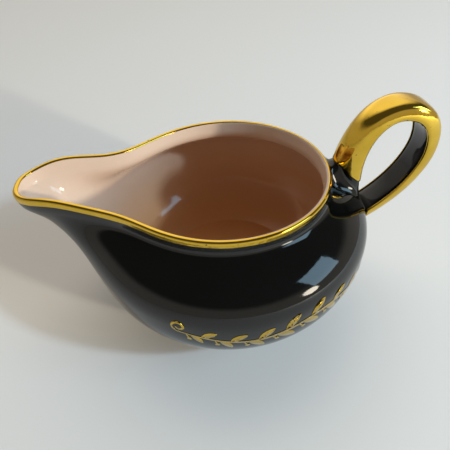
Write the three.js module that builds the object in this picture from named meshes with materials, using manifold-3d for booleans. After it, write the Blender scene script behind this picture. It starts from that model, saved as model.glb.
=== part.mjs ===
// Milk jug: a squat jug of slip-cast earthenware with a long pulled spout, a poured glaze
// lining, a gilded rim, and a cast strap handle that is luted on with two pads of slip.
// Millimetres, +Z up. The origin is the middle of the foot, on the table.
// The spout points to -X and the handle stands at +X.
import * as THREE from 'three';
import { mergeVertices } from 'three/addons/utils/BufferGeometryUtils.js';
import Module from 'manifold-3d';

const wasm = await Module();
wasm.setup();

// Body, measured on the outside of the wall
const FOOT_RADIUS = 34;
const FOOT_HEIGHT = 3;
const FOOT_RING_WIDTH = 5;
const FOOT_CHAMFER = 0.6;
const BELLY_RADIUS = 59;
const BELLY_HEIGHT = 39;
const BELLY_FULLNESS = 2.3; // 2 makes an ellipse, more makes squarer shoulders
const MOUTH_RADIUS = 40.8;
const MOUTH_OVAL = 0.9; // the mouth is this much longer and narrower than round
const RIM_HEIGHT = 62.7;
const NECK_HEIGHT = 6; // upright collar under the rim
const NECK_COVE = 1; // softness of the hollow between collar and shoulder
const WALL = 3;
const LIP_WALL = 1.9; // wall at the rim, where the lip was sponged thin
const LIP_RUN = 10; // height of the thinned wall under the rim
const LIP_CROWN = 0.8; // height of the rounded top of the rim

// Spout, pulled out of the mouth
const SPOUT_REACH = 82.6; // from the jug's axis to the pouring edge
const SPOUT_SPREAD = 0.262; // half angle of the spout, in radians
const SPOUT_TAPER = 2.9; // more makes the spout's cheeks steeper
const SPOUT_START = 31; // height where the keel leaves the belly
const SPOUT_LIP = 6; // upright edge of the pouring lip
const KEEL_FLICK = 0.27; // share of the overhang that the last flick gives
const FLICK_POWER = 11;
const KEEL_SOFTNESS = 0.07; // rounding where the keel starts
const LIP_SOFTNESS = 0.03; // rounding where the flick meets the lip
const TIP_RISE = 2.9; // pouring edge above the rim
const CHEEK_RISE = 2.6; // sides of the spout above the rim

// Handle: centre line of the strap, then its section
const ROOT_SETBACK = 9.4; // root, outside the neck
const ROOT_DEPTH = 16.7; // start of the strap, below the rim
const ROOT_LEAN = 3.6; // pull of the curve at the root, towards the neck
const ROOT_CLIMB = 30.5; // pull of the curve at the root, upwards
const CROWN_RISE = 23.1; // top of the loop, above the rim
const CROWN_SETBACK = 15; // top of the loop, in front of its back
const CROWN_FRONT = 7.4; // pull of the curve in front of the crown
const CROWN_REAR = 5; // pull of the curve behind the crown
const BACK_REACH = 22; // back of the loop, beyond the belly
const BACK_RISE = 6; // back of the loop, above the rim
const BACK_ABOVE = 15; // pull of the curve above the back
const BACK_BELOW = 8.6; // pull of the curve below the back
const HEEL_INSET = 8.5; // end of the strap, inside the belly
const HEEL_HEIGHT = 31;
const HEEL_FLARE = 23.6; // pull of the curve at the heel, outwards
const HEEL_CLIMB = 11.9; // pull of the curve at the heel, upwards
const STRAP_WIDTH = 12.4;
const STRAP_THICKNESS = 6;
const STRAP_BEVEL = 0.15; // the outer face is this much narrower, the inner face wider
const STRAP_SQUARENESS = 3.2;
const ROOT_SWELL = 3.6; // thicker at the root, on each face
const ROOT_RUN = 46;
const HEEL_THINNING = 1.2;
const HEEL_RUN = 60;
const ROOT_SPREAD = 3.2; // both ends spread out where they are luted on
const HEEL_SPREAD = 2.4;
const SPREAD_RUN = 16;

// Coats, slip and clearances
const GAP = 0.3; // clearance between neighbouring pieces
const LINING = 0.7;
const GOLD = 0.5;
const RIM_GOLD_DROP = 1.6; // gold band, down the outside of the rim
const RIM_GOLD_TURN = 2; // gold band, over the top of the rim, in radians
const GOLD_START = 15; // gold on the handle starts this far along the strap
const GOLD_WRAP = 0.6; // how far the gold turns round the strap's sides, in radians
const SLIP = 1;
const SLIP_MARGIN = 1.4; // slip squeezed out round the strap

// Facets
const COLUMNS = 56;
const COLUMN_CROWDING = 1.6; // above 1, columns stand closer together at the spout
const LEVELS = 14;
const LIP_STEPS = 4;
const STRAP_STEPS = 34;
const STRAP_SIDES = 16;
const GOLD_SIDES = 10;
const PLUG_STEPS = 8;
const NUDGE = 0.01; // step used to find the slope of the wall

const soft = (value, softness) => (value + Math.hypot(value, 2 * softness)) / 2;
const ramp = (distance, run) => Math.max(0, 1 - distance / run);
const up = new THREE.Vector3(0, 0, 1);
const sideways = new THREE.Vector3(0, -1, 0);

// Outer radius of the plain jug at a height, before the spout is pulled
function bodyRadius(z) {
  const reach = (part) => (1 - (part / BELLY_RADIUS) ** BELLY_FULLNESS) ** (1 / BELLY_FULLNESS);
  const shoulderSpan = (RIM_HEIGHT - NECK_HEIGHT - BELLY_HEIGHT) / reach(MOUTH_RADIUS);
  const bowlSpan = (BELLY_HEIGHT - FOOT_HEIGHT) / reach(FOOT_RADIUS);
  const above = z > BELLY_HEIGHT;
  const share = Math.min(1, Math.abs(z - BELLY_HEIGHT) / (above ? shoulderSpan : bowlSpan));
  const radius = BELLY_RADIUS * (1 - share ** BELLY_FULLNESS) ** (1 / BELLY_FULLNESS);
  return above ? MOUTH_RADIUS + soft(radius - MOUTH_RADIUS, NECK_COVE) : radius;
}

// Point on the outside of the finished wall; the angle is measured from the spout
function skinPoint(angle, z) {
  const pull = 1 / (1 + (Math.abs(angle) / SPOUT_SPREAD) ** SPOUT_TAPER);
  const lift = TIP_RISE * pull + CHEEK_RISE * Math.sin(Math.PI * pull ** 1.5) ** 2;
  const share = (z - FOOT_HEIGHT) / (RIM_HEIGHT - FOOT_HEIGHT);
  const height = z + lift * share;
  const climb = (height - SPOUT_START) / (RIM_HEIGHT + lift - SPOUT_LIP - SPOUT_START);
  const along = 1 - soft(1 - soft(climb, KEEL_SOFTNESS), LIP_SOFTNESS);
  const overhang = KEEL_FLICK * along ** FLICK_POWER + (1 - KEEL_FLICK) * along;
  const keel = bodyRadius(Math.min(z, BELLY_HEIGHT)) + (SPOUT_REACH - BELLY_RADIUS) * overhang;
  const plain = bodyRadius(z) + MOUTH_OVAL * Math.cos(2 * angle) * share ** 3;
  const radius = plain + pull * (keel - plain);
  return new THREE.Vector3(-radius * Math.cos(angle), radius * Math.sin(angle), height);
}

// Thickness of the wall at a height
const wallAt = (z) => WALL - (WALL - LIP_WALL) * ramp(RIM_HEIGHT - z, LIP_RUN) ** 2;

// Point inside the wall, at a depth square to its outer face
function wallPoint(angle, z, depth) {
  const along = skinPoint(angle + NUDGE, z).sub(skinPoint(angle - NUDGE, z));
  const rise = skinPoint(angle, Math.min(z + NUDGE, RIM_HEIGHT))
    .sub(skinPoint(angle, Math.max(z - NUDGE, FOOT_HEIGHT)));
  const inward = along.cross(rise).normalize();
  return skinPoint(angle, z).addScaledVector(inward, depth);
}

// Point on the rounded top of the rim; turn 0 is its outer edge and pi its inner edge
function lipPoint(angle, turn, grow) {
  const depth = LIP_WALL / 2 - (LIP_WALL / 2 + grow) * Math.cos(turn);
  return wallPoint(angle, RIM_HEIGHT, depth).addScaledVector(up, (LIP_CROWN + grow) * Math.sin(turn));
}

const steps = (count, from, to) =>
  Array.from({ length: count + 1 }, (_, i) => from + ((to - from) * i) / count);

// Angles of the columns of facets round the jug, from one side of the spout to the other
const columnAngles = steps(COLUMNS, 1, -1).slice(0, COLUMNS)
  .map((x) => Math.PI * Math.sign(x) * Math.abs(x) ** COLUMN_CROWDING);

// Heights of the rings of facets, closer together at the foot and at the rim
const wallLevels = steps(LEVELS, 0, Math.PI)
  .map((turn) => FOOT_HEIGHT + ((RIM_HEIGHT - FOOT_HEIGHT) * (1 - Math.cos(turn))) / 2);

// Joins rings of points into one closed surface; a loft that isn't closed gets flat ends
function loft(rings, closed, endOutline) {
  const sides = rings[0].length;
  const points = rings.flat();
  const faces = [];
  for (let i = 0; i < rings.length - (closed ? 0 : 1); i++) {
    const next = (i + 1) % rings.length;
    for (let j = 0; j < sides; j++) {
      const turn = (j + 1) % sides;
      const [a, b, c, d] = [i * sides + j, next * sides + j, next * sides + turn, i * sides + turn];
      const acrossAC = points[a].distanceTo(points[c]) < points[b].distanceTo(points[d]);
      faces.push(...(acrossAC ? [[a, b, c], [a, c, d]] : [[a, b, d], [b, c, d]]));
    }
  }
  if (!closed) {
    const last = (rings.length - 1) * sides;
    for (const [a, b, c] of THREE.ShapeUtils.triangulateShape(endOutline, [])) {
      faces.push([a, b, c], [last + a, last + c, last + b]);
    }
  }
  const merged = mergeVertices(
    new THREE.BufferGeometry().setFromPoints(points).setIndex(faces.flat()));
  const index = merged.index.array;
  const kept = [];
  for (let i = 0; i < index.length; i += 3) {
    const [a, b, c] = [index[i], index[i + 1], index[i + 2]];
    if (a !== b && b !== c && c !== a) kept.push(a, b, c);
  }
  return merged.setIndex(kept);
}

const roundTheJug = (section) => loft(columnAngles.map(section), true);
const onAxis = (z) => new THREE.Vector3(0, 0, z);
const onFoot = (angle, radius, z) =>
  new THREE.Vector3(-radius * Math.cos(angle), radius * Math.sin(angle), z);

function bodyGeometry() {
  const ringInside = FOOT_RADIUS - FOOT_RING_WIDTH;
  return roundTheJug((angle) => [
    onAxis(FOOT_HEIGHT),
    onFoot(angle, ringInside, FOOT_HEIGHT),
    onFoot(angle, ringInside + FOOT_CHAMFER, 0),
    onFoot(angle, FOOT_RADIUS - FOOT_CHAMFER, 0),
    ...wallLevels.map((z) => wallPoint(angle, z, 0)),
    ...steps(LIP_STEPS, 0, Math.PI).slice(1, -1).map((turn) => lipPoint(angle, turn, 0)),
    ...wallLevels.toReversed().map((z) => wallPoint(angle, z, wallAt(z))),
    onAxis(FOOT_HEIGHT + WALL),
  ]);
}

function liningGeometry() {
  const back = (z) => wallAt(z) + GAP;
  const face = (z) => back(z) + LINING;
  return roundTheJug((angle) => [
    onAxis(FOOT_HEIGHT + back(FOOT_HEIGHT)),
    ...wallLevels.map((z) => wallPoint(angle, z, back(z))),
    ...wallLevels.toReversed().map((z) => wallPoint(angle, z, face(z))),
    onAxis(FOOT_HEIGHT + face(FOOT_HEIGHT)),
  ]);
}

function rimGoldGeometry() {
  const overLip = steps(LIP_STEPS, 0, RIM_GOLD_TURN);
  const lowEdge = RIM_HEIGHT - RIM_GOLD_DROP;
  return roundTheJug((angle) => [
    wallPoint(angle, lowEdge, -GAP - GOLD),
    ...overLip.map((turn) => lipPoint(angle, turn, GAP + GOLD)),
    ...overLip.toReversed().map((turn) => lipPoint(angle, turn, GAP)),
    wallPoint(angle, lowEdge, -GAP),
  ]);
}

// The jug's outside as a full block, grown by a clearance
function fullBody(grow) {
  return roundTheJug((angle) => [
    onAxis(0),
    onFoot(angle, FOOT_RADIUS + grow, 0),
    ...wallLevels.map((z) => wallPoint(angle, z, -grow)),
    onAxis(RIM_HEIGHT),
  ]);
}

const inPlane = ([x, z]) => new THREE.Vector3(x, 0, z);

function handlePath() {
  const back = [BELLY_RADIUS + BACK_REACH, RIM_HEIGHT + BACK_RISE];
  const crown = [back[0] - CROWN_SETBACK, RIM_HEIGHT + CROWN_RISE];
  const root = [MOUTH_RADIUS + ROOT_SETBACK, RIM_HEIGHT - ROOT_DEPTH];
  const heel = [BELLY_RADIUS - HEEL_INSET, HEEL_HEIGHT];
  const moved = (point, x, z) => inPlane([point[0] + x, point[1] + z]);
  const path = new THREE.CurvePath();
  path.add(new THREE.CubicBezierCurve3(
    inPlane(root), moved(root, -ROOT_LEAN, ROOT_CLIMB), moved(crown, -CROWN_FRONT, 0), inPlane(crown)));
  path.add(new THREE.CubicBezierCurve3(
    inPlane(crown), moved(crown, CROWN_REAR, 0), moved(back, 0, BACK_ABOVE), inPlane(back)));
  path.add(new THREE.CubicBezierCurve3(
    inPlane(back), moved(back, 0, -BACK_BELOW), moved(heel, HEEL_FLARE, HEEL_CLIMB), inPlane(heel)));
  return path;
}

const strapPath = handlePath();
const strapLength = strapPath.getLength();

// A point of the strap's section: how far across the strap, and how far out of its loop
function strapEdge(distance, turn, grow) {
  const squared = (value) => Math.sign(value) * Math.abs(value) ** (2 / STRAP_SQUARENESS);
  const out = squared(Math.sin(turn));
  const swell = ROOT_SWELL * ramp(distance, ROOT_RUN) ** 1.5;
  const thinning = HEEL_THINNING * ramp(strapLength - distance, HEEL_RUN);
  const spread = ROOT_SPREAD * ramp(distance, SPREAD_RUN) ** 2
    + HEEL_SPREAD * ramp(strapLength - distance, SPREAD_RUN) ** 2;
  const halfThickness = STRAP_THICKNESS / 2 + swell - thinning + spread;
  const halfWidth = (STRAP_WIDTH / 2) * (1 - STRAP_BEVEL * out) + spread;
  return new THREE.Vector2(
    (halfWidth + grow) * squared(Math.cos(turn)), (halfThickness + grow) * out);
}

// Carries an outline along the strap's centre line between two distances
function alongStrap(from, to, count, outlineAt) {
  const rings = steps(count, from, to).map((distance) => {
    const middle = strapPath.getPoint(distance / strapLength);
    const heading = strapPath.getTangent(distance / strapLength);
    const outward = new THREE.Vector3(-heading.z, 0, heading.x);
    return outlineAt(distance).map((edge) => middle.clone()
      .addScaledVector(sideways, edge.x).addScaledVector(outward, edge.y));
  });
  return loft(rings, false, outlineAt(from));
}

const strapOutline = (distance, grow) =>
  steps(STRAP_SIDES, 0, 2 * Math.PI).slice(0, STRAP_SIDES)
    .map((turn) => strapEdge(distance, turn, grow));

// The gold is a channel over the outer face and both sides of the strap
function goldOutline(distance) {
  const turns = steps(GOLD_SIDES, -GOLD_WRAP, Math.PI + GOLD_WRAP);
  const outside = turns.map((turn) => strapEdge(distance, turn, GAP + GOLD));
  const inside = turns.map((turn) => strapEdge(distance, turn, GAP));
  return [...outside, ...inside.reverse()];
}

function toSolid(geometry) {
  return new wasm.Manifold(new wasm.Mesh({
    numProp: 3,
    vertProperties: Float32Array.from(geometry.attributes.position.array),
    triVerts: Uint32Array.from(geometry.index.array),
  }));
}

function toGeometry(solid) {
  const { vertProperties, triVerts } = solid.getMesh();
  const geometry = new THREE.BufferGeometry();
  geometry.setAttribute('position', new THREE.BufferAttribute(vertProperties, 3));
  return geometry.setIndex(new THREE.BufferAttribute(triVerts, 1));
}

// The handle and its gold stop short of the slip that joins them to the body
const handleCutter = toSolid(fullBody(GAP + SLIP + GAP));
const cutToBody = (geometry) => toGeometry(toSolid(geometry).subtract(handleCutter));

// A pad of slip lies on the body, under one end of the strap
const slipCoat = toSolid(fullBody(GAP + SLIP)).subtract(toSolid(fullBody(GAP)));
function slipPad(from, to) {
  const plug = alongStrap(from, to, PLUG_STEPS, (distance) => strapOutline(distance, SLIP_MARGIN));
  return toGeometry(toSolid(plug).intersect(slipCoat));
}

const blackGlaze = { color: 0x0b0c0e, roughness: 0.12, metalness: 0 };
const pinkGlaze = { color: 0xc79480, roughness: 0.2, metalness: 0 };
const goldLustre = { color: 0xb8902c, roughness: 0.28, metalness: 1 };

const jug = new THREE.Group();
function addPiece(name, geometry, finish) {
  geometry.computeVertexNormals();
  const piece = new THREE.Mesh(geometry, new THREE.MeshStandardMaterial(finish));
  piece.name = name;
  jug.add(piece);
}

const halfway = strapLength / 2;
const strap = alongStrap(0, strapLength, STRAP_STEPS, (distance) => strapOutline(distance, 0));
const strapGold = alongStrap(GOLD_START, strapLength, STRAP_STEPS, goldOutline);

addPiece('body_casting', bodyGeometry(), blackGlaze);
addPiece('lining_glaze', liningGeometry(), pinkGlaze);
addPiece('rim_gilding', rimGoldGeometry(), goldLustre);
addPiece('handle_strap', cutToBody(strap), blackGlaze);
addPiece('handle_gilding', cutToBody(strapGold), goldLustre);
addPiece('upper_slip_joint', slipPad(0, halfway), blackGlaze);
addPiece('lower_slip_joint', slipPad(halfway, strapLength), blackGlaze);

export default jug;
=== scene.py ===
import functools
import math

import bmesh
import bpy
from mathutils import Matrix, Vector, noise
from mathutils.bvhtree import BVHTree
from mathutils.geometry import interpolate_bezier


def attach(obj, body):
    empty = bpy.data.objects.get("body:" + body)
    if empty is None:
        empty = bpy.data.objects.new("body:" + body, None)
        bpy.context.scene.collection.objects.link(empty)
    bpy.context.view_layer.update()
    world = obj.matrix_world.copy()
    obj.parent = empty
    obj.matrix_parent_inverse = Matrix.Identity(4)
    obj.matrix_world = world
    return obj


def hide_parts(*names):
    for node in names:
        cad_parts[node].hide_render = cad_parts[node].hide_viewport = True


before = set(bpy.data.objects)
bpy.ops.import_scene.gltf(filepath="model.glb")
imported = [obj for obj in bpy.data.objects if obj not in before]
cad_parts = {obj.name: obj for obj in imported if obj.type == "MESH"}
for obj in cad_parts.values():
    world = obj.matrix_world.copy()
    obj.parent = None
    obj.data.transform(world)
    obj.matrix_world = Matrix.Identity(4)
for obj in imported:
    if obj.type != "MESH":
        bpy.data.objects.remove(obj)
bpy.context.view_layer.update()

# Body casting: earthenware slip cast in one piece, with foot ring, belly, upright collar and a
# long spout. It is dipped in black glaze, and only the foot ring is wiped bare for firing.
foot_radius = 0.034
foot_height = 0.003
foot_ring_width = 0.005
foot_edge = 0.0008
belly_radius = 0.059
belly_height = 0.039
belly_fullness = 2.3
mouth_radius = 0.0408
mouth_oval = 0.0009
rim_height = 0.0627
neck_height = 0.006
neck_cove = 0.001
wall_thickness = 0.003
lip_wall = 0.0019
lip_run = 0.010
lip_crown = 0.0008
spout_reach = 0.0826
spout_spread = 0.262
spout_taper = 2.9
spout_start = 0.031
spout_lip = 0.006
keel_flick = 0.27
flick_power = 11
keel_softness = 0.07
lip_softness = 0.03
tip_rise = 0.0029
cheek_rise = 0.0026
cheek_bend = 1.5
oval_fade = 3
columns = 144
column_crowding = 1.7
wall_rows = 40
floor_rows = 6
lip_rows = 8
slope_step = 0.00002
slope_turn = 0.0005
merge_distance = 0.000001
lip_unit = 0.001
rounding_slack = 0.00001
above_wall = rim_height + rounding_slack
cloud_low = 0.3
cloud_high = 0.7
ripple_scale = 55
peel_scale = 420
peel_share = 0.12
pinhole_scale = 150
pinhole_heart = 0.02
pinhole_edge = 0.06
pinhole_depth = 0.6
pinhole_share = 0.1
haze_scale = 30
glaze_relief = 0.25
glaze_relief_height = 0.0004
black_thin = (0.0012, 0.0016, 0.0015, 1)
black_thick = (0.0030, 0.0036, 0.0032, 1)
black_cloud_scale = 40
bare_clay = (0.55, 0.42, 0.30, 1)
bare_top = 0.0003
glaze_start = 0.0005


def soft_ramp(value, softness):
    return (value + math.hypot(value, 2 * softness)) / 2


def plain_radius(level):
    """Outer radius of the jug at a height, before the spout is pulled."""
    top = level > belly_height
    end_radius = mouth_radius if top else foot_radius
    end_level = rim_height - neck_height if top else foot_height
    end_share = (1 - (end_radius / belly_radius) ** belly_fullness) ** (1 / belly_fullness)
    share = min(1, (level - belly_height) / (end_level - belly_height) * end_share)
    radius = belly_radius * (1 - share ** belly_fullness) ** (1 / belly_fullness)
    return mouth_radius + soft_ramp(radius - mouth_radius, neck_cove) if top else radius


def skin_point(angle, level):
    """Point on the outside of the wall; the angle is measured from the spout."""
    pull = 1 / (1 + (abs(angle) / spout_spread) ** spout_taper)
    lift = tip_rise * pull + cheek_rise * math.sin(math.pi * pull ** cheek_bend) ** 2
    share = (level - foot_height) / (rim_height - foot_height)
    height = level + lift * share
    climb = (height - spout_start) / (rim_height + lift - spout_lip - spout_start)
    along = 1 - soft_ramp(1 - soft_ramp(climb, keel_softness), lip_softness)
    overhang = keel_flick * along ** flick_power + (1 - keel_flick) * along
    keel = plain_radius(min(level, belly_height)) + (spout_reach - belly_radius) * overhang
    plain = plain_radius(level) + mouth_oval * math.cos(2 * angle) * share ** oval_fade
    radius = plain + pull * (keel - plain)
    return Vector((-radius * math.cos(angle), radius * math.sin(angle), height))


def wall_at(level):
    """Thickness of the wall at a height; the lip was sponged thin."""
    thinned = max(0, 1 - (rim_height - level) / lip_run) ** 2
    return wall_thickness - (wall_thickness - lip_wall) * thinned


def wall_point(angle, level, depth):
    """Point at a depth square to the outside of the wall; a depth below 0 lies on a coat."""
    around = skin_point(angle + slope_turn, level) - skin_point(angle - slope_turn, level)
    above = skin_point(angle, min(level + slope_step, rim_height))
    below = skin_point(angle, max(level - slope_step, foot_height))
    inward = around.cross(above - below).normalized()
    return skin_point(angle, level) + inward * depth


def on_drum(level, depth):
    """A section is first drawn on a straight drum, as wide as the belly."""
    return Vector((belly_radius - depth, 0, level))


def over_lip(first_turn, last_turn, rows, grow):
    """The rounded top of the rim, unrolled above the drum, from turn 0 outside to pi inside."""
    turns = [first_turn + (last_turn - first_turn) * i / rows for i in range(rows + 1)]
    return [on_drum(rim_height + lip_unit * turn, -grow) for turn in turns]


def lip_point(angle, turn, grow):
    """Point on the rolled lip, or on a coat that grows out of it."""
    half = lip_wall / 2
    edge = wall_point(angle, rim_height, half - (half + grow) * math.cos(turn))
    return edge + Vector((0, 0, (lip_crown + grow) * math.sin(turn)))


def up_wall(low, high, rows, depth):
    """Rows up the wall, closer together at both ends."""
    shares = [(1 - math.cos(math.pi * i / rows)) / 2 for i in range(rows + 1)]
    return [on_drum(low + (high - low) * share, depth) for share in shares]


def across_floor(height, depth):
    """The inside of the jug's floor, from its edge to the axis."""
    edge = wall_point(math.pi, foot_height, depth).x
    shares = [1 - (i + 1) / floor_rows for i in range(floor_rows)]
    return [Vector((edge * share, 0, height)) for share in shares]


def spin_section(points, closed=False):
    """Turns a section on the drum once round the jug's axis."""
    section = bmesh.new()
    verts = [section.verts.new(point) for point in points]
    ends = zip(verts, verts[1:] + verts[:1]) if closed else zip(verts, verts[1:])
    edges = [section.edges.new(pair) for pair in ends]
    bmesh.ops.spin(section, geom=verts + edges, cent=(0, 0, 0), axis=(0, 0, 1),
                   angle=2 * math.pi, steps=columns, use_merge=True)
    bmesh.ops.remove_doubles(section, verts=section.verts, dist=merge_distance)
    return section


def column_angle(vert):
    """The angle from the spout that a column of the drum goes to; columns crowd at the spout."""
    turn = math.atan2(vert.co.y, -vert.co.x) / math.pi
    return math.pi * math.copysign(abs(turn) ** column_crowding, turn)


def press_to_shape(section):
    """Presses the drum to the jug's shape; the foot and the floor keep their own radius."""
    for vert in section.verts:
        reach = math.hypot(vert.co.x, vert.co.y)
        angle = column_angle(vert)
        height = vert.co.z
        if reach < foot_radius:
            vert.co = (-reach * math.cos(angle), reach * math.sin(angle), height)
        elif height > above_wall:
            vert.co = lip_point(angle, (height - rim_height) / lip_unit, reach - belly_radius)
        else:
            depth = belly_radius - reach
            thinned = wall_thickness - wall_at(height) if depth > lip_wall else 0
            vert.co = wall_point(angle, height, depth - thinned)
    bmesh.ops.recalc_face_normals(section, faces=section.faces)


def finish_piece(shape, name, material, levels):
    """Makes a bmesh the visible piece of that name, smooth, on the jug's one body."""
    mesh = bpy.data.meshes.new(name)
    shape.to_mesh(mesh)
    shape.free()
    mesh.shade_smooth()
    mesh.materials.append(material)
    piece = bpy.data.objects.new(name, mesh)
    bpy.context.scene.collection.objects.link(piece)
    if levels:
        rounding = piece.modifiers.new("rounding", "SUBSURF")
        rounding.levels = levels
        rounding.render_levels = levels
    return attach(piece, "root")


def add_node(tree, kind, inputs, **settings):
    node = tree.nodes.new(kind)
    for name, value in settings.items():
        setattr(node, name, value)
    for name, value in inputs.items():
        if isinstance(value, bpy.types.NodeSocket):
            tree.links.new(value, node.inputs[name])
        else:
            node.inputs[name].default_value = value
    return node


def new_material(name):
    material = bpy.data.materials.new(name)
    material.use_nodes = True
    return material, material.node_tree, material.node_tree.nodes["Principled BSDF"]


def make_glaze_surface():
    """Fired glaze: a slow ripple, fine orange peel and a few pinholes."""
    group = bpy.data.node_groups.new("glaze_surface", "ShaderNodeTree")
    group.interface.new_socket("Ripple", in_out="INPUT", socket_type="NodeSocketFloat")
    group.interface.new_socket("Height", in_out="OUTPUT", socket_type="NodeSocketFloat")
    group.interface.new_socket("Dulling", in_out="OUTPUT", socket_type="NodeSocketFloat")
    given = group.nodes.new("NodeGroupInput")
    place = group.nodes.new("ShaderNodeTexCoord")
    slow = add_node(group, "ShaderNodeTexNoise",
                    {"Vector": place.outputs["Object"], "Scale": ripple_scale, "Detail": 1})
    peel = add_node(group, "ShaderNodeTexNoise",
                    {"Vector": place.outputs["Object"], "Scale": peel_scale, "Detail": 2})
    pinholes = add_node(group, "ShaderNodeTexVoronoi",
                        {"Vector": place.outputs["Object"], "Scale": pinhole_scale})
    pits = add_node(group, "ShaderNodeMapRange",
                    {"Value": pinholes.outputs["Distance"], "From Min": pinhole_heart,
                     "From Max": pinhole_edge, "To Min": -pinhole_depth, "To Max": 0})
    waves = add_node(group, "ShaderNodeMath",
                     {0: slow.outputs["Fac"], 1: given.outputs["Ripple"]}, operation="MULTIPLY")
    grain = add_node(group, "ShaderNodeMath",
                     {0: peel.outputs["Fac"], 1: peel_share, 2: waves.outputs[0]},
                     operation="MULTIPLY_ADD")
    height = add_node(group, "ShaderNodeMath",
                      {0: pits.outputs[0], 1: pinhole_share, 2: grain.outputs[0]},
                      operation="MULTIPLY_ADD")
    haze = add_node(group, "ShaderNodeTexNoise",
                    {"Vector": place.outputs["Object"], "Scale": haze_scale, "Detail": 4})
    result = group.nodes.new("NodeGroupOutput")
    group.links.new(height.outputs[0], result.inputs["Height"])
    group.links.new(haze.outputs["Fac"], result.inputs["Dulling"])
    return group


glaze_surface = make_glaze_surface()


def glaze_finish(tree, shader, ripple, smoothest, dullest):
    """Puts the fired glaze's ripple and uneven gloss on a shader."""
    surface = add_node(tree, "ShaderNodeGroup", {}, node_tree=glaze_surface)
    surface.inputs["Ripple"].default_value = ripple
    gloss = add_node(tree, "ShaderNodeMapRange",
                     {"Value": surface.outputs["Dulling"], "From Min": cloud_low,
                      "From Max": cloud_high, "To Min": smoothest, "To Max": dullest})
    tree.links.new(gloss.outputs[0], shader.inputs["Roughness"])
    bump = add_node(tree, "ShaderNodeBump",
                    {"Strength": glaze_relief, "Distance": glaze_relief_height,
                     "Height": surface.outputs["Height"]})
    tree.links.new(bump.outputs["Normal"], shader.inputs["Normal"])


def make_black_glaze():
    material, tree, shader = new_material("black_glaze")
    place = tree.nodes.new("ShaderNodeTexCoord")
    depth = add_node(tree, "ShaderNodeTexNoise",
                     {"Vector": place.outputs["Object"], "Scale": black_cloud_scale, "Detail": 3})
    black = add_node(tree, "ShaderNodeMix",
                     {"Factor": depth.outputs["Fac"], "A": black_thin, "B": black_thick},
                     data_type="RGBA")
    height = add_node(tree, "ShaderNodeSeparateXYZ", {"Vector": place.outputs["Object"]})
    bare = add_node(tree, "ShaderNodeMapRange",
                    {"Value": height.outputs["Z"], "From Min": bare_top, "From Max": glaze_start,
                     "To Min": 1, "To Max": 0})
    colour = add_node(tree, "ShaderNodeMix",
                      {"Factor": bare.outputs[0], "A": black.outputs["Result"], "B": bare_clay},
                      data_type="RGBA")
    tree.links.new(colour.outputs["Result"], shader.inputs["Base Color"])
    glaze_finish(tree, shader, ripple=0.5, smoothest=0.04, dullest=0.10)
    return material


black_glaze = make_black_glaze()

ring_inside = foot_radius - foot_ring_width
foot_section = [
    Vector((0, 0, foot_height)),
    Vector((ring_inside * 0.5, 0, foot_height)),
    Vector((ring_inside - foot_edge, 0, foot_height)),
    Vector((ring_inside, 0, foot_height - foot_edge / 4)),
    Vector((ring_inside, 0, foot_edge)),
    Vector((ring_inside + foot_edge / 4, 0, foot_edge / 4)),
    Vector((ring_inside + foot_edge, 0, 0)),
    Vector((foot_radius - foot_edge * 1.5, 0, 0)),
    Vector((foot_radius - foot_edge * 0.4, 0, foot_edge / 4)),
    Vector((foot_radius - foot_edge * 0.1, 0, foot_edge)),
]
body_shape = spin_section(
    foot_section
    + up_wall(foot_height, rim_height, wall_rows, 0)
    + over_lip(0, math.pi, lip_rows, 0)[1:-1]
    + up_wall(rim_height, foot_height, wall_rows, wall_thickness)
    + across_floor(foot_height + wall_thickness, wall_thickness))
press_to_shape(body_shape)
clay_surface = BVHTree.FromBMesh(body_shape)
body = finish_piece(body_shape, "body", black_glaze, levels=1)
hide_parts("body_casting")

# Lining: pink glaze poured in, swilled round and poured out through the spout before firing.
# It runs over the rim to the edge of the gold, which was banded a little off centre.
lining_thickness = 0.00016
coat_sink = 0.0001
gold_edge_turn = math.radians(132)
gold_edge_sway = math.radians(38)
gold_sway_angle = math.radians(31)
gold_overlap = math.radians(6)
half_over = math.pi / 2
coat_lip_rows = 6
pink_thin = (0.62, 0.46, 0.355, 1)
pink_thick = (0.70, 0.535, 0.42, 1)
# Painted shade: lower down in the bowl the lining is mixed towards a browner colour, to stand in
# for the shade that falls there.
pink_painted_shade = (0.70, 0.36, 0.15, 1)
pink_cloud_scale = 28
painted_shade_top = 0.050
painted_shade_bottom = 0.010
lining_back = wall_thickness - coat_sink
lining_face = wall_thickness + lining_thickness


def make_pink_glaze():
    material, tree, shader = new_material("pink_glaze")
    place = tree.nodes.new("ShaderNodeTexCoord")
    cloud = add_node(tree, "ShaderNodeTexNoise",
                     {"Vector": place.outputs["Object"], "Scale": pink_cloud_scale, "Detail": 4})
    pale = add_node(tree, "ShaderNodeMix",
                    {"Factor": cloud.outputs["Fac"], "A": pink_thin, "B": pink_thick},
                    data_type="RGBA")
    height = add_node(tree, "ShaderNodeSeparateXYZ", {"Vector": place.outputs["Object"]})
    # Painted shade: the colour is mixed towards brown lower in the bowl.
    painted_shade = add_node(tree, "ShaderNodeMapRange",
                      {"Value": height.outputs["Z"], "From Min": painted_shade_top, "From Max": painted_shade_bottom,
                       "To Min": 0, "To Max": 1})
    colour = add_node(tree, "ShaderNodeMix",
                      {"Factor": painted_shade.outputs[0], "A": pale.outputs["Result"], "B": pink_painted_shade},
                      data_type="RGBA")
    tree.links.new(colour.outputs["Result"], shader.inputs["Base Color"])
    glaze_finish(tree, shader, ripple=0.4, smoothest=0.07, dullest=0.14)
    return material


pink_glaze = make_pink_glaze()


def gold_edge(angle):
    """How far over the lip the gold reaches at an angle from the spout."""
    return gold_edge_turn + gold_edge_sway * math.cos(angle - gold_sway_angle)


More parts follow.
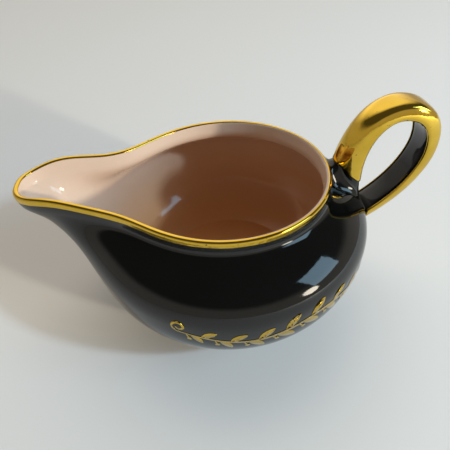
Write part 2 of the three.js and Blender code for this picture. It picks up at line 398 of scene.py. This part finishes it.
lining_shape = spin_section(
    [Vector((0, 0, foot_height + lining_back))]
    + across_floor(foot_height + lining_back, lining_back)[-2::-1]
    + up_wall(foot_height, rim_height, wall_rows, lining_back)
    + over_lip(math.pi, half_over, coat_lip_rows, -coat_sink)[1:]
    + over_lip(half_over, math.pi, coat_lip_rows, lining_thickness)[:-1]
    + up_wall(rim_height, foot_height, wall_rows, lining_face)
    + across_floor(foot_height + lining_face, lining_face))
for vert in lining_shape.verts:
    if vert.co.z > above_wall:
        covered = math.pi - gold_edge(column_angle(vert)) + gold_overlap
        to_inner_edge = math.pi - (vert.co.z - rim_height) / lip_unit
        turn = math.pi - to_inner_edge * covered / half_over
        vert.co.z = rim_height + lip_unit * turn
press_to_shape(lining_shape)
lining = finish_piece(lining_shape, "lining", pink_glaze, levels=1)
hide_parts("lining_glaze")

# Rim gilding: liquid gold brushed round the outside of the rim by hand and fired on.
# Its lower edge wanders a little, as the brush did.
gold_thickness = 0.00022
rim_gold_drop = 0.0016
rim_gold_rows = 6
brush_wander = 0.0004
brush_waves = 5.0
gold_thin = (0.52, 0.32, 0.022, 1)
gold_thick = (0.80, 0.54, 0.085, 1)
gold_cloud_scale = 90
gold_smoothest = 0.03
gold_dullest = 0.10
worn_black = (0.02, 0.014, 0.006, 1)
speck_scale = 520
speck_edge = 0.70
speck_heart = 0.74
streak_scale = 300
streak_relief = 0.2
streak_height = 0.0002


def make_gold_lustre():
    """Gold over glaze: brush streaks, cloudy tone, and specks worn through to the black."""
    material, tree, shader = new_material("gold_lustre")
    place = tree.nodes.new("ShaderNodeTexCoord")
    cloud = add_node(tree, "ShaderNodeTexNoise",
                     {"Vector": place.outputs["Object"], "Scale": gold_cloud_scale, "Detail": 4})
    tone = add_node(tree, "ShaderNodeMix",
                    {"Factor": cloud.outputs["Fac"], "A": gold_thin, "B": gold_thick},
                    data_type="RGBA")
    specks = add_node(tree, "ShaderNodeTexNoise",
                      {"Vector": place.outputs["Object"], "Scale": speck_scale, "Detail": 3})
    worn = add_node(tree, "ShaderNodeMapRange",
                    {"Value": specks.outputs["Fac"], "From Min": speck_edge,
                     "From Max": speck_heart})
    colour = add_node(tree, "ShaderNodeMix",
                      {"Factor": worn.outputs[0], "A": tone.outputs["Result"], "B": worn_black},
                      data_type="RGBA")
    metal = add_node(tree, "ShaderNodeMapRange",
                     {"Value": worn.outputs[0], "To Min": 1, "To Max": 0})
    gloss = add_node(tree, "ShaderNodeMapRange",
                     {"Value": cloud.outputs["Fac"], "From Min": cloud_low, "From Max": cloud_high,
                      "To Min": gold_smoothest, "To Max": gold_dullest})
    streaks = add_node(tree, "ShaderNodeTexNoise",
                       {"Vector": place.outputs["Object"], "Scale": streak_scale, "Detail": 2})
    bump = add_node(tree, "ShaderNodeBump",
                    {"Strength": streak_relief, "Distance": streak_height,
                     "Height": streaks.outputs["Fac"]})
    tree.links.new(colour.outputs["Result"], shader.inputs["Base Color"])
    tree.links.new(metal.outputs[0], shader.inputs["Metallic"])
    tree.links.new(gloss.outputs[0], shader.inputs["Roughness"])
    tree.links.new(bump.outputs["Normal"], shader.inputs["Normal"])
    return material


gold_lustre = make_gold_lustre()

rim_gold_low = rim_height - rim_gold_drop
rim_gold_shape = spin_section(
    up_wall(rim_gold_low, rim_height, rim_gold_rows, -gold_thickness)
    + over_lip(0, half_over, coat_lip_rows, gold_thickness)[1:]
    + over_lip(half_over, 0, coat_lip_rows, -coat_sink)[:-1]
    + up_wall(rim_height, rim_gold_low, rim_gold_rows, coat_sink), closed=True)
for vert in rim_gold_shape.verts:
    over = vert.co.z - rim_height
    if over > 0:
        vert.co.z = rim_height + over * gold_edge(column_angle(vert)) / half_over
    else:
        brush_turn = Vector((vert.co.x, vert.co.y, 0)).normalized() * brush_waves
        vert.co.z -= brush_wander * noise.noise(brush_turn) * over / rim_gold_drop
press_to_shape(rim_gold_shape)
rim_gold = finish_piece(rim_gold_shape, "rim_gold", gold_lustre, levels=1)
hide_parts("rim_gilding")

# Handle strap: cast by itself as a flat strap bent to the shape of an ear, thicker and rounded
# on its back at the root, then luted to the shoulder and the belly and glazed black with them.
root_out = 0.0094
root_drop = 0.0167
root_pull = Vector((-0.0036, 0, 0.0305))
crown_in = 0.015
crown_rise = 0.0231
crown_pull = (0.0074, 0.005)
back_out = 0.022
back_rise = 0.006
back_pull = (0.015, 0.0086)
heel_in = 0.0085
heel_height = 0.031
heel_pull = Vector((0.0236, 0, 0.0119))
strap_width = 0.0124
strap_thickness = 0.006
strap_bevel = 0.15
strap_squareness = 4.2
root_swell = 0.0036
root_run = 0.046
swell_bend = 1.5
root_dome = 0.85
dome_run = 0.052
dome_lift = 0.22
heel_thinning = 0.0012
heel_run = 0.060
strap_sides = 40
strap_rows = 150
clay_sink = 0.0006
path_points = 80
heading_step = 0.0005
clay_halvings = 30
along_x = Vector((1, 0, 0))
along_z = Vector((0, 0, 1))

root = Vector((mouth_radius + root_out, 0, rim_height - root_drop))
back = Vector((belly_radius + back_out, 0, rim_height + back_rise))
crown = Vector((back.x - crown_in, 0, rim_height + crown_rise))
heel = Vector((belly_radius - heel_in, 0, heel_height))
strap_path = (
    interpolate_bezier(root, root + root_pull, crown - along_x * crown_pull[0], crown,
                       path_points)
    + interpolate_bezier(crown, crown + along_x * crown_pull[1], back + along_z * back_pull[0],
                         back, path_points)[1:]
    + interpolate_bezier(back, back - along_z * back_pull[1], heel + heel_pull, heel,
                         path_points)[1:])
strap_reach = [0.0]
for before, after in zip(strap_path, strap_path[1:]):
    strap_reach.append(strap_reach[-1] + (after - before).length)
strap_length = strap_reach[-1]


def strap_middle(distance):
    """Point on the strap's centre line, at a distance from its root."""
    step = next((i for i, reach in enumerate(strap_reach[1:]) if reach >= distance),
                len(strap_path) - 2)
    share = (distance - strap_reach[step]) / (strap_reach[step + 1] - strap_reach[step])
    return strap_path[step].lerp(strap_path[step + 1], share)


def squared(value):
    """Turns a round section into a strap with flat faces and rounded edges."""
    return math.copysign(abs(value) ** (2 / strap_squareness), value)


def strap_point(distance, turn, grow):
    """Point on the strap's surface; turn 0 is its far side and a quarter turn its outer face."""
    ahead = strap_middle(distance + heading_step)
    behind = strap_middle(distance - heading_step)
    heading = (ahead - behind).normalized()
    outward = Vector((-heading.z, 0, heading.x))
    across = squared(math.cos(turn))
    out = squared(math.sin(turn))
    swell = root_swell * max(0, 1 - distance / root_run) ** swell_bend
    thinning = heel_thinning * max(0, 1 - (strap_length - distance) / heel_run)
    half_thickness = strap_thickness / 2 + swell - thinning + grow
    half_width = strap_width / 2 * (1 - strap_bevel * out) + grow
    dome = root_dome * max(0, min(1, 1 - distance / dome_run)) if out > 0 else 0
    bulge = 1 + dome * (dome_lift - across ** 2)
    sideways = Vector((0, half_width * across, 0))
    return strap_middle(distance) + sideways + outward * half_thickness * out * bulge


@functools.cache
def meets_clay(turn, inside, outside):
    """How far along the strap one line of its surface comes out of the body."""
    for _ in range(clay_halvings):
        middle = (inside + outside) / 2
        point = strap_point(middle, turn, 0)
        clay = skin_point(math.atan2(point.y, -point.x), min(point.z, rim_height))
        if point.xy.length > clay.xy.length:
            outside = middle
        else:
            inside = middle
    return outside


def strap_turn(vert):
    """The turn round the strap that a line of the straight tube goes to."""
    return round(math.atan2(vert.co.y, vert.co.x), 6)


def straight_strap(rows, ends):
    """A straight tube, 1 long and 2 across, with a ring of edges for each row."""
    tube = bmesh.new()
    bmesh.ops.create_cone(tube, cap_ends=ends, segments=strap_sides,
                          radius1=1, radius2=1, depth=1)
    lengthwise = [e for e in tube.edges if abs(e.verts[0].co.z - e.verts[1].co.z) > 0.5]
    bmesh.ops.subdivide_edges(tube, edges=lengthwise, cuts=rows - 1, use_grid_fill=True)
    return tube


root_end = 0.3 * strap_length
heel_start = 0.7 * strap_length
strap_shape = straight_strap(strap_rows, True)
for vert in strap_shape.verts:
    turn = strap_turn(vert)
    first = meets_clay(turn, 0, root_end) - clay_sink
    last = meets_clay(turn, strap_length, heel_start) + clay_sink
    vert.co = strap_point(first + (last - first) * (vert.co.z + 0.5), turn, 0)
bmesh.ops.recalc_face_normals(strap_shape, faces=strap_shape.faces)
strap = finish_piece(strap_shape, "handle", black_glaze, levels=0)
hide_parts("handle_strap")

# Handle gilding: gold brushed over the outer face and both sides of the strap. It stops at a
# straight brush line above the root, and the finger side stays black.
gold_wrap = 0.72
outer_gold_start = 0.0172
side_gold_start = 0.0110
side_edge = 0.7
heel_gold_gap = 0.0028
gold_edge_wander = 0.0003
wander_around = 3
wander_along = 40


def on_finger_side(face):
    """True for the strips of the straight tube that stay black."""
    middle = face.calc_center_median()
    return math.sin(math.atan2(middle.y, middle.x)) < -math.sin(gold_wrap)


handle_gold_shape = straight_strap(strap_rows, False)
finger_side = [face for face in handle_gold_shape.faces if on_finger_side(face)]
bmesh.ops.delete(handle_gold_shape, geom=finger_side, context="FACES")
for vert in handle_gold_shape.verts:
    turn = strap_turn(vert)
    facing = min(1, max(0, (squared(math.sin(turn)) + side_edge) / (1 + side_edge)))
    brush_place = Vector((turn * wander_around, vert.co.z * wander_along, 0))
    wander = gold_edge_wander * noise.noise(brush_place)
    first = side_gold_start + (outer_gold_start - side_gold_start) * facing + wander
    last = meets_clay(turn, strap_length, heel_start) - heel_gold_gap + wander
    vert.co = strap_point(first + (last - first) * (vert.co.z + 0.5), turn, gold_thickness)
bmesh.ops.recalc_face_normals(handle_gold_shape, faces=handle_gold_shape.faces)
bmesh.ops.solidify(handle_gold_shape, geom=handle_gold_shape.faces,
                   thickness=gold_thickness + coat_sink)
handle_gold = finish_piece(handle_gold_shape, "handle_gold", gold_lustre, levels=0)
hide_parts("handle_gilding")

# Slip joints: the handle's two ends are luted to the body with slip, which is smoothed with a
# wet finger into hollow fillets and glazed black with the rest. At the root it also makes a
# saddle between the strap's back and the rim.
fillet_rows = 14
fillet_hollow = 0.55
saddle_filling = 0.2
saddle_narrowing = 3
lute_sink = 0.00012


def lute(name, node, ends, side, spread, rise, saddle, saddle_rise):
    """A hollow fillet round one end of the strap; side is 1 at the root and -1 at the heel.

    It reaches out over the clay by spread and along the strap by rise, and on the strap's outer
    face it starts higher by saddle.
    """
    fillet = straight_strap(fillet_rows, True)
    for vert in fillet.verts:
        turn = strap_turn(vert)
        facing = max(0, squared(math.sin(turn))) ** saddle_narrowing
        corner = meets_clay(turn, *ends)
        lift = side * saddle * facing
        top = corner + lift + side * (rise + (saddle_rise - rise) * facing)
        landing, normal = clay_surface.find_nearest(strap_point(corner + lift, turn, spread))[:2]
        landing -= normal * lute_sink
        slope = strap_point(corner, turn, 0) - landing
        slope -= normal * slope.dot(normal)
        hollow = fillet_hollow - saddle_filling * facing
        low = landing + slope * hollow
        high = strap_point(top + (corner - top) * hollow, turn, -lute_sink)
        knots = (landing, low, high, strap_point(top, turn, -lute_sink))
        share = vert.co.z + 0.5
        rest = 1 - share
        weights = (rest ** 3, 3 * rest ** 2 * share, 3 * rest * share ** 2, share ** 3)
        vert.co = sum((knot * weight for knot, weight in zip(knots, weights)), Vector())
    bmesh.ops.recalc_face_normals(fillet, faces=fillet.faces)
    joint = finish_piece(fillet, name, black_glaze, levels=1)
    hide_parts(node)


lute("root_lute", "upper_slip_joint", (0, root_end), side=1,
     spread=0.0042, rise=0.0065, saddle=0.0066, saddle_rise=0.0022)
lute("heel_lute", "lower_slip_joint", (strap_length, heel_start), side=-1,
     spread=0.0026, rise=0.003, saddle=0, saddle_rise=0.003)

# Belly sprig: a branch of leaves and berries, painted on the belly with a fine brush in the same
# liquid gold and fired with it.
sprig_angle = math.radians(-106)
sprig_level = 0.0345
sprig_coat = 0.00006
sprig_half = 0.041
sprig_wave = 0.062
wave_height = 0.0024
stem_width = 0.0012
stem_strokes = 120
stroke_end = 0.35
leaf_pairs = 8
first_pair = 0.6
leaf_stagger = 0.022
leaf_length = 0.0092
leaf_width = 0.0036
leaf_splay = math.radians(42)
leaf_bow = 0.16
leaf_pointing = 0.5
leaf_segments = 24
end_leaf_loss = 0.35
tip_leaf_size = 0.9
berry_radius = 0.0009
berry_segments = 14
berry_stagger = 0.045
berry_splay = leaf_splay * 1.5
berry_stalk = 0.0034
stalk_width = stem_width / 2
stalk_strokes = 3
curl_radius = 0.0030
curl_turns = 1.25
curl_tightening = 0.7
curl_width = stem_width * 0.8
curl_strokes = 48
route_step = 0.002


def stem_route(share):
    """The waved stem, laid flat: x runs along the belly to the right and y up it."""
    along = sprig_half * (2 * share - 1)
    return Vector((along, wave_height * math.sin(2 * math.pi * along / sprig_wave), 0))


def curl_route(share):
    """A tendril that curls back from the cut end of the stem."""
    turn = math.pi * 1.5 - 2 * math.pi * curl_turns * share
    middle = stem_route(0) + Vector((0, curl_radius, 0))
    radius = curl_radius * (1 - curl_tightening * share)
    return middle + Vector((math.cos(turn), math.sin(turn), 0)) * radius


def route_heading(route, share):
    step = route(share + route_step) - route(share - route_step)
    return math.atan2(step.y, step.x)


def paint_line(flat, route, width, strokes):
    """A brushed line along a route, swelling in the middle and thin at both ends."""
    line = bmesh.ops.create_grid(flat, x_segments=strokes, y_segments=1, size=0.5)["verts"]
    for vert in line:
        share = vert.co.x + 0.5
        heading = route_heading(route, share)
        aside = Vector((-math.sin(heading), math.cos(heading), 0)) * vert.co.y
        swelling = stroke_end + (1 - stroke_end) * math.sin(math.pi * share)
        vert.co = route(share) + aside * width * swelling


def paint_leaf(flat, base, heading, size):
    """A pointed leaf, painted with one stroke of the brush and bowed to one side."""
    leaf = bmesh.ops.create_circle(flat, cap_ends=True, cap_tris=True, radius=1,
                                   segments=leaf_segments)
    for vert in leaf["verts"]:
        along = (vert.co.x + 1) / 2
        bow = leaf_bow * math.sin(math.pi * along)
        across = vert.co.y * abs(vert.co.y) ** leaf_pointing / 2 + bow
        ahead = Vector((math.cos(heading), math.sin(heading), 0)) * along * leaf_length
        aside = Vector((-math.sin(heading), math.cos(heading), 0)) * across * leaf_width
        vert.co = base + (ahead + aside) * size


def paint_berry(flat, base, heading):
    """A round berry at the end of a short stalk."""
    stalk_end = base + Vector((math.cos(heading), math.sin(heading), 0)) * berry_stalk
    paint_line(flat, functools.partial(base.lerp, stalk_end), stalk_width, stalk_strokes)
    berry = bmesh.ops.create_circle(flat, cap_ends=True, cap_tris=True, radius=berry_radius,
                                    segments=berry_segments)
    bmesh.ops.translate(flat, verts=berry["verts"], vec=stalk_end)


sprig_shape = bmesh.new()
paint_line(sprig_shape, stem_route, stem_width, stem_strokes)
paint_line(sprig_shape, curl_route, curl_width, curl_strokes)
for pair in range(leaf_pairs):
    share = (pair + first_pair) / leaf_pairs
    growth = 1 - end_leaf_loss * abs(2 * share - 1)
    for side in (1, -1):
        leaf_share = share + side * leaf_stagger
        heading = route_heading(stem_route, leaf_share)
        paint_leaf(sprig_shape, stem_route(leaf_share), heading + side * leaf_splay, growth)
        berry_share = share - side * berry_stagger
        paint_berry(sprig_shape, stem_route(berry_share),
                    route_heading(stem_route, berry_share) - side * berry_splay)
paint_leaf(sprig_shape, stem_route(1), route_heading(stem_route, 1), tip_leaf_size)
for vert in sprig_shape.verts:
    angle = sprig_angle - vert.co.x / belly_radius
    vert.co = wall_point(angle, sprig_level + vert.co.y, -sprig_coat)
bmesh.ops.solidify(sprig_shape, geom=sprig_shape.faces, thickness=sprig_coat + coat_sink)
sprig = finish_piece(sprig_shape, "belly_sprig", gold_lustre, levels=0)

# Table: a plain pale top under the jug, wide enough to fill the view.
# It is no part of the jug.
table_colour = (0.84, 0.83, 0.81, 1)
table_roughness = 0.7
table_half = 3.0


def make_table_top():
    material, _, shader = new_material("table_top")
    shader.inputs["Base Color"].default_value = table_colour
    shader.inputs["Roughness"].default_value = table_roughness
    return material


table_shape = bmesh.new()
bmesh.ops.create_grid(table_shape, x_segments=1, y_segments=1, size=table_half)
table_mesh = bpy.data.meshes.new("table")
table_shape.to_mesh(table_mesh)
table_shape.free()
table_mesh.materials.append(make_table_top())
table = bpy.data.objects.new("table", table_mesh)
bpy.context.scene.collection.objects.link(table)

# Light: cool daylight from the right, a low warm lamp in front of it, and a glow high on the back
# wall for the gold to mirror. The window and the lamp throw the shadows, the larger curtain and
# lamp shade show in the glaze, and the ceiling is dim, so the bowl lies in shade.
wall_light = (0.98, 0.91, 0.81, 1)
wall_strength = 0.52
ceiling_strength = 0.085
wall_top = 0.28
ceiling_start = 0.50
glow_strength = 1.25
glow_direction = (0, 0.72, 0.69)
glow_edge = 0.66
glow_heart = 0.93
window_place = Vector((1.24, -0.63, 0.89))
window_size = 0.11
window_watts = 11.5
window_colour = (0.60, 0.80, 1.0)
curtain_place = Vector((1.22, -0.52, 0.80))
curtain_size = 0.66
curtain_watts = 6
curtain_colour = (0.50, 0.78, 1.0)
lamp_place = Vector((1.155, -0.97, 0.365))
lamp_size = 0.08
lamp_watts = 13
shade_place = Vector((1.13, -0.95, 0.36))
shade_size = 0.30
shade_watts = 4
lamp_colour = (1.0, 0.91, 0.74)


def add_softbox(name, shape, place, size, watts, colour):
    """A soft box that faces the jug."""
    lamp = bpy.data.lights.new(name, "AREA")
    lamp.shape = shape
    lamp.size = size
    lamp.energy = watts
    lamp.color = colour
    softbox = bpy.data.objects.new(name, lamp)
    softbox.location = place
    softbox.rotation_euler = (-place).to_track_quat("-Z", "Y").to_euler()
    bpy.context.scene.collection.objects.link(softbox)
    return softbox


window = add_softbox("window", "SQUARE", window_place, window_size, window_watts, window_colour)
add_softbox("curtain", "SQUARE", curtain_place, curtain_size, curtain_watts, curtain_colour)
lamp = add_softbox("lamp", "DISK", lamp_place, lamp_size, lamp_watts, lamp_colour)
add_softbox("lamp_shade", "DISK", shade_place, shade_size, shade_watts, lamp_colour)
window.visible_glossy = False
lamp.visible_glossy = False

room = bpy.data.worlds.new("pale_room")
room.use_nodes = True
room_tree = room.node_tree
direction = room_tree.nodes.new("ShaderNodeTexCoord")
climb = add_node(room_tree, "ShaderNodeSeparateXYZ", {"Vector": direction.outputs["Generated"]})
walls = add_node(room_tree, "ShaderNodeMapRange",
                 {"Value": climb.outputs["Z"], "From Min": wall_top, "From Max": ceiling_start,
                  "To Min": wall_strength, "To Max": ceiling_strength},
                 interpolation_type="SMOOTHSTEP")
towards_glow = add_node(room_tree, "ShaderNodeVectorMath",
                        {0: direction.outputs["Generated"], 1: glow_direction},
                        operation="DOT_PRODUCT")
glow = add_node(room_tree, "ShaderNodeMapRange",
                {"Value": towards_glow.outputs["Value"], "From Min": glow_edge,
                 "From Max": glow_heart, "To Min": 0, "To Max": glow_strength},
                interpolation_type="SMOOTHSTEP")
room_strength = add_node(room_tree, "ShaderNodeMath",
                         {0: walls.outputs[0], 1: glow.outputs[0]}, operation="ADD")
room_light = room_tree.nodes["Background"]
room_light.inputs["Color"].default_value = wall_light
room_tree.links.new(room_strength.outputs[0], room_light.inputs["Strength"])
bpy.context.scene.world = room
bpy.context.scene.view_settings.view_transform = "Standard"

# Camera: held close above the near side of the jug, looking down at it and tipped a little to
# one side, with the lens of the view that the sizes were fitted to.
camera_place = Vector((-0.0130, -0.1333, 0.1616))
camera_turn = math.radians(4.96)
camera_dip = math.radians(43.74)
camera_roll = math.radians(-2.47)
camera_lens = 32.76
camera_sensor = 36
nearest_seen = 0.01

lens = bpy.data.cameras.new("camera")
lens.lens = camera_lens
lens.sensor_width = camera_sensor
lens.clip_start = nearest_seen
camera = bpy.data.objects.new("camera", lens)
camera.location = camera_place
looking = Vector((math.sin(camera_turn) * math.cos(camera_dip),
                  math.cos(camera_turn) * math.cos(camera_dip), -math.sin(camera_dip)))
camera.rotation_euler = looking.to_track_quat("-Z", "Y").to_euler()
camera.rotation_euler.rotate_axis("Z", camera_roll)
bpy.context.scene.collection.objects.link(camera)
bpy.context.scene.camera = camera
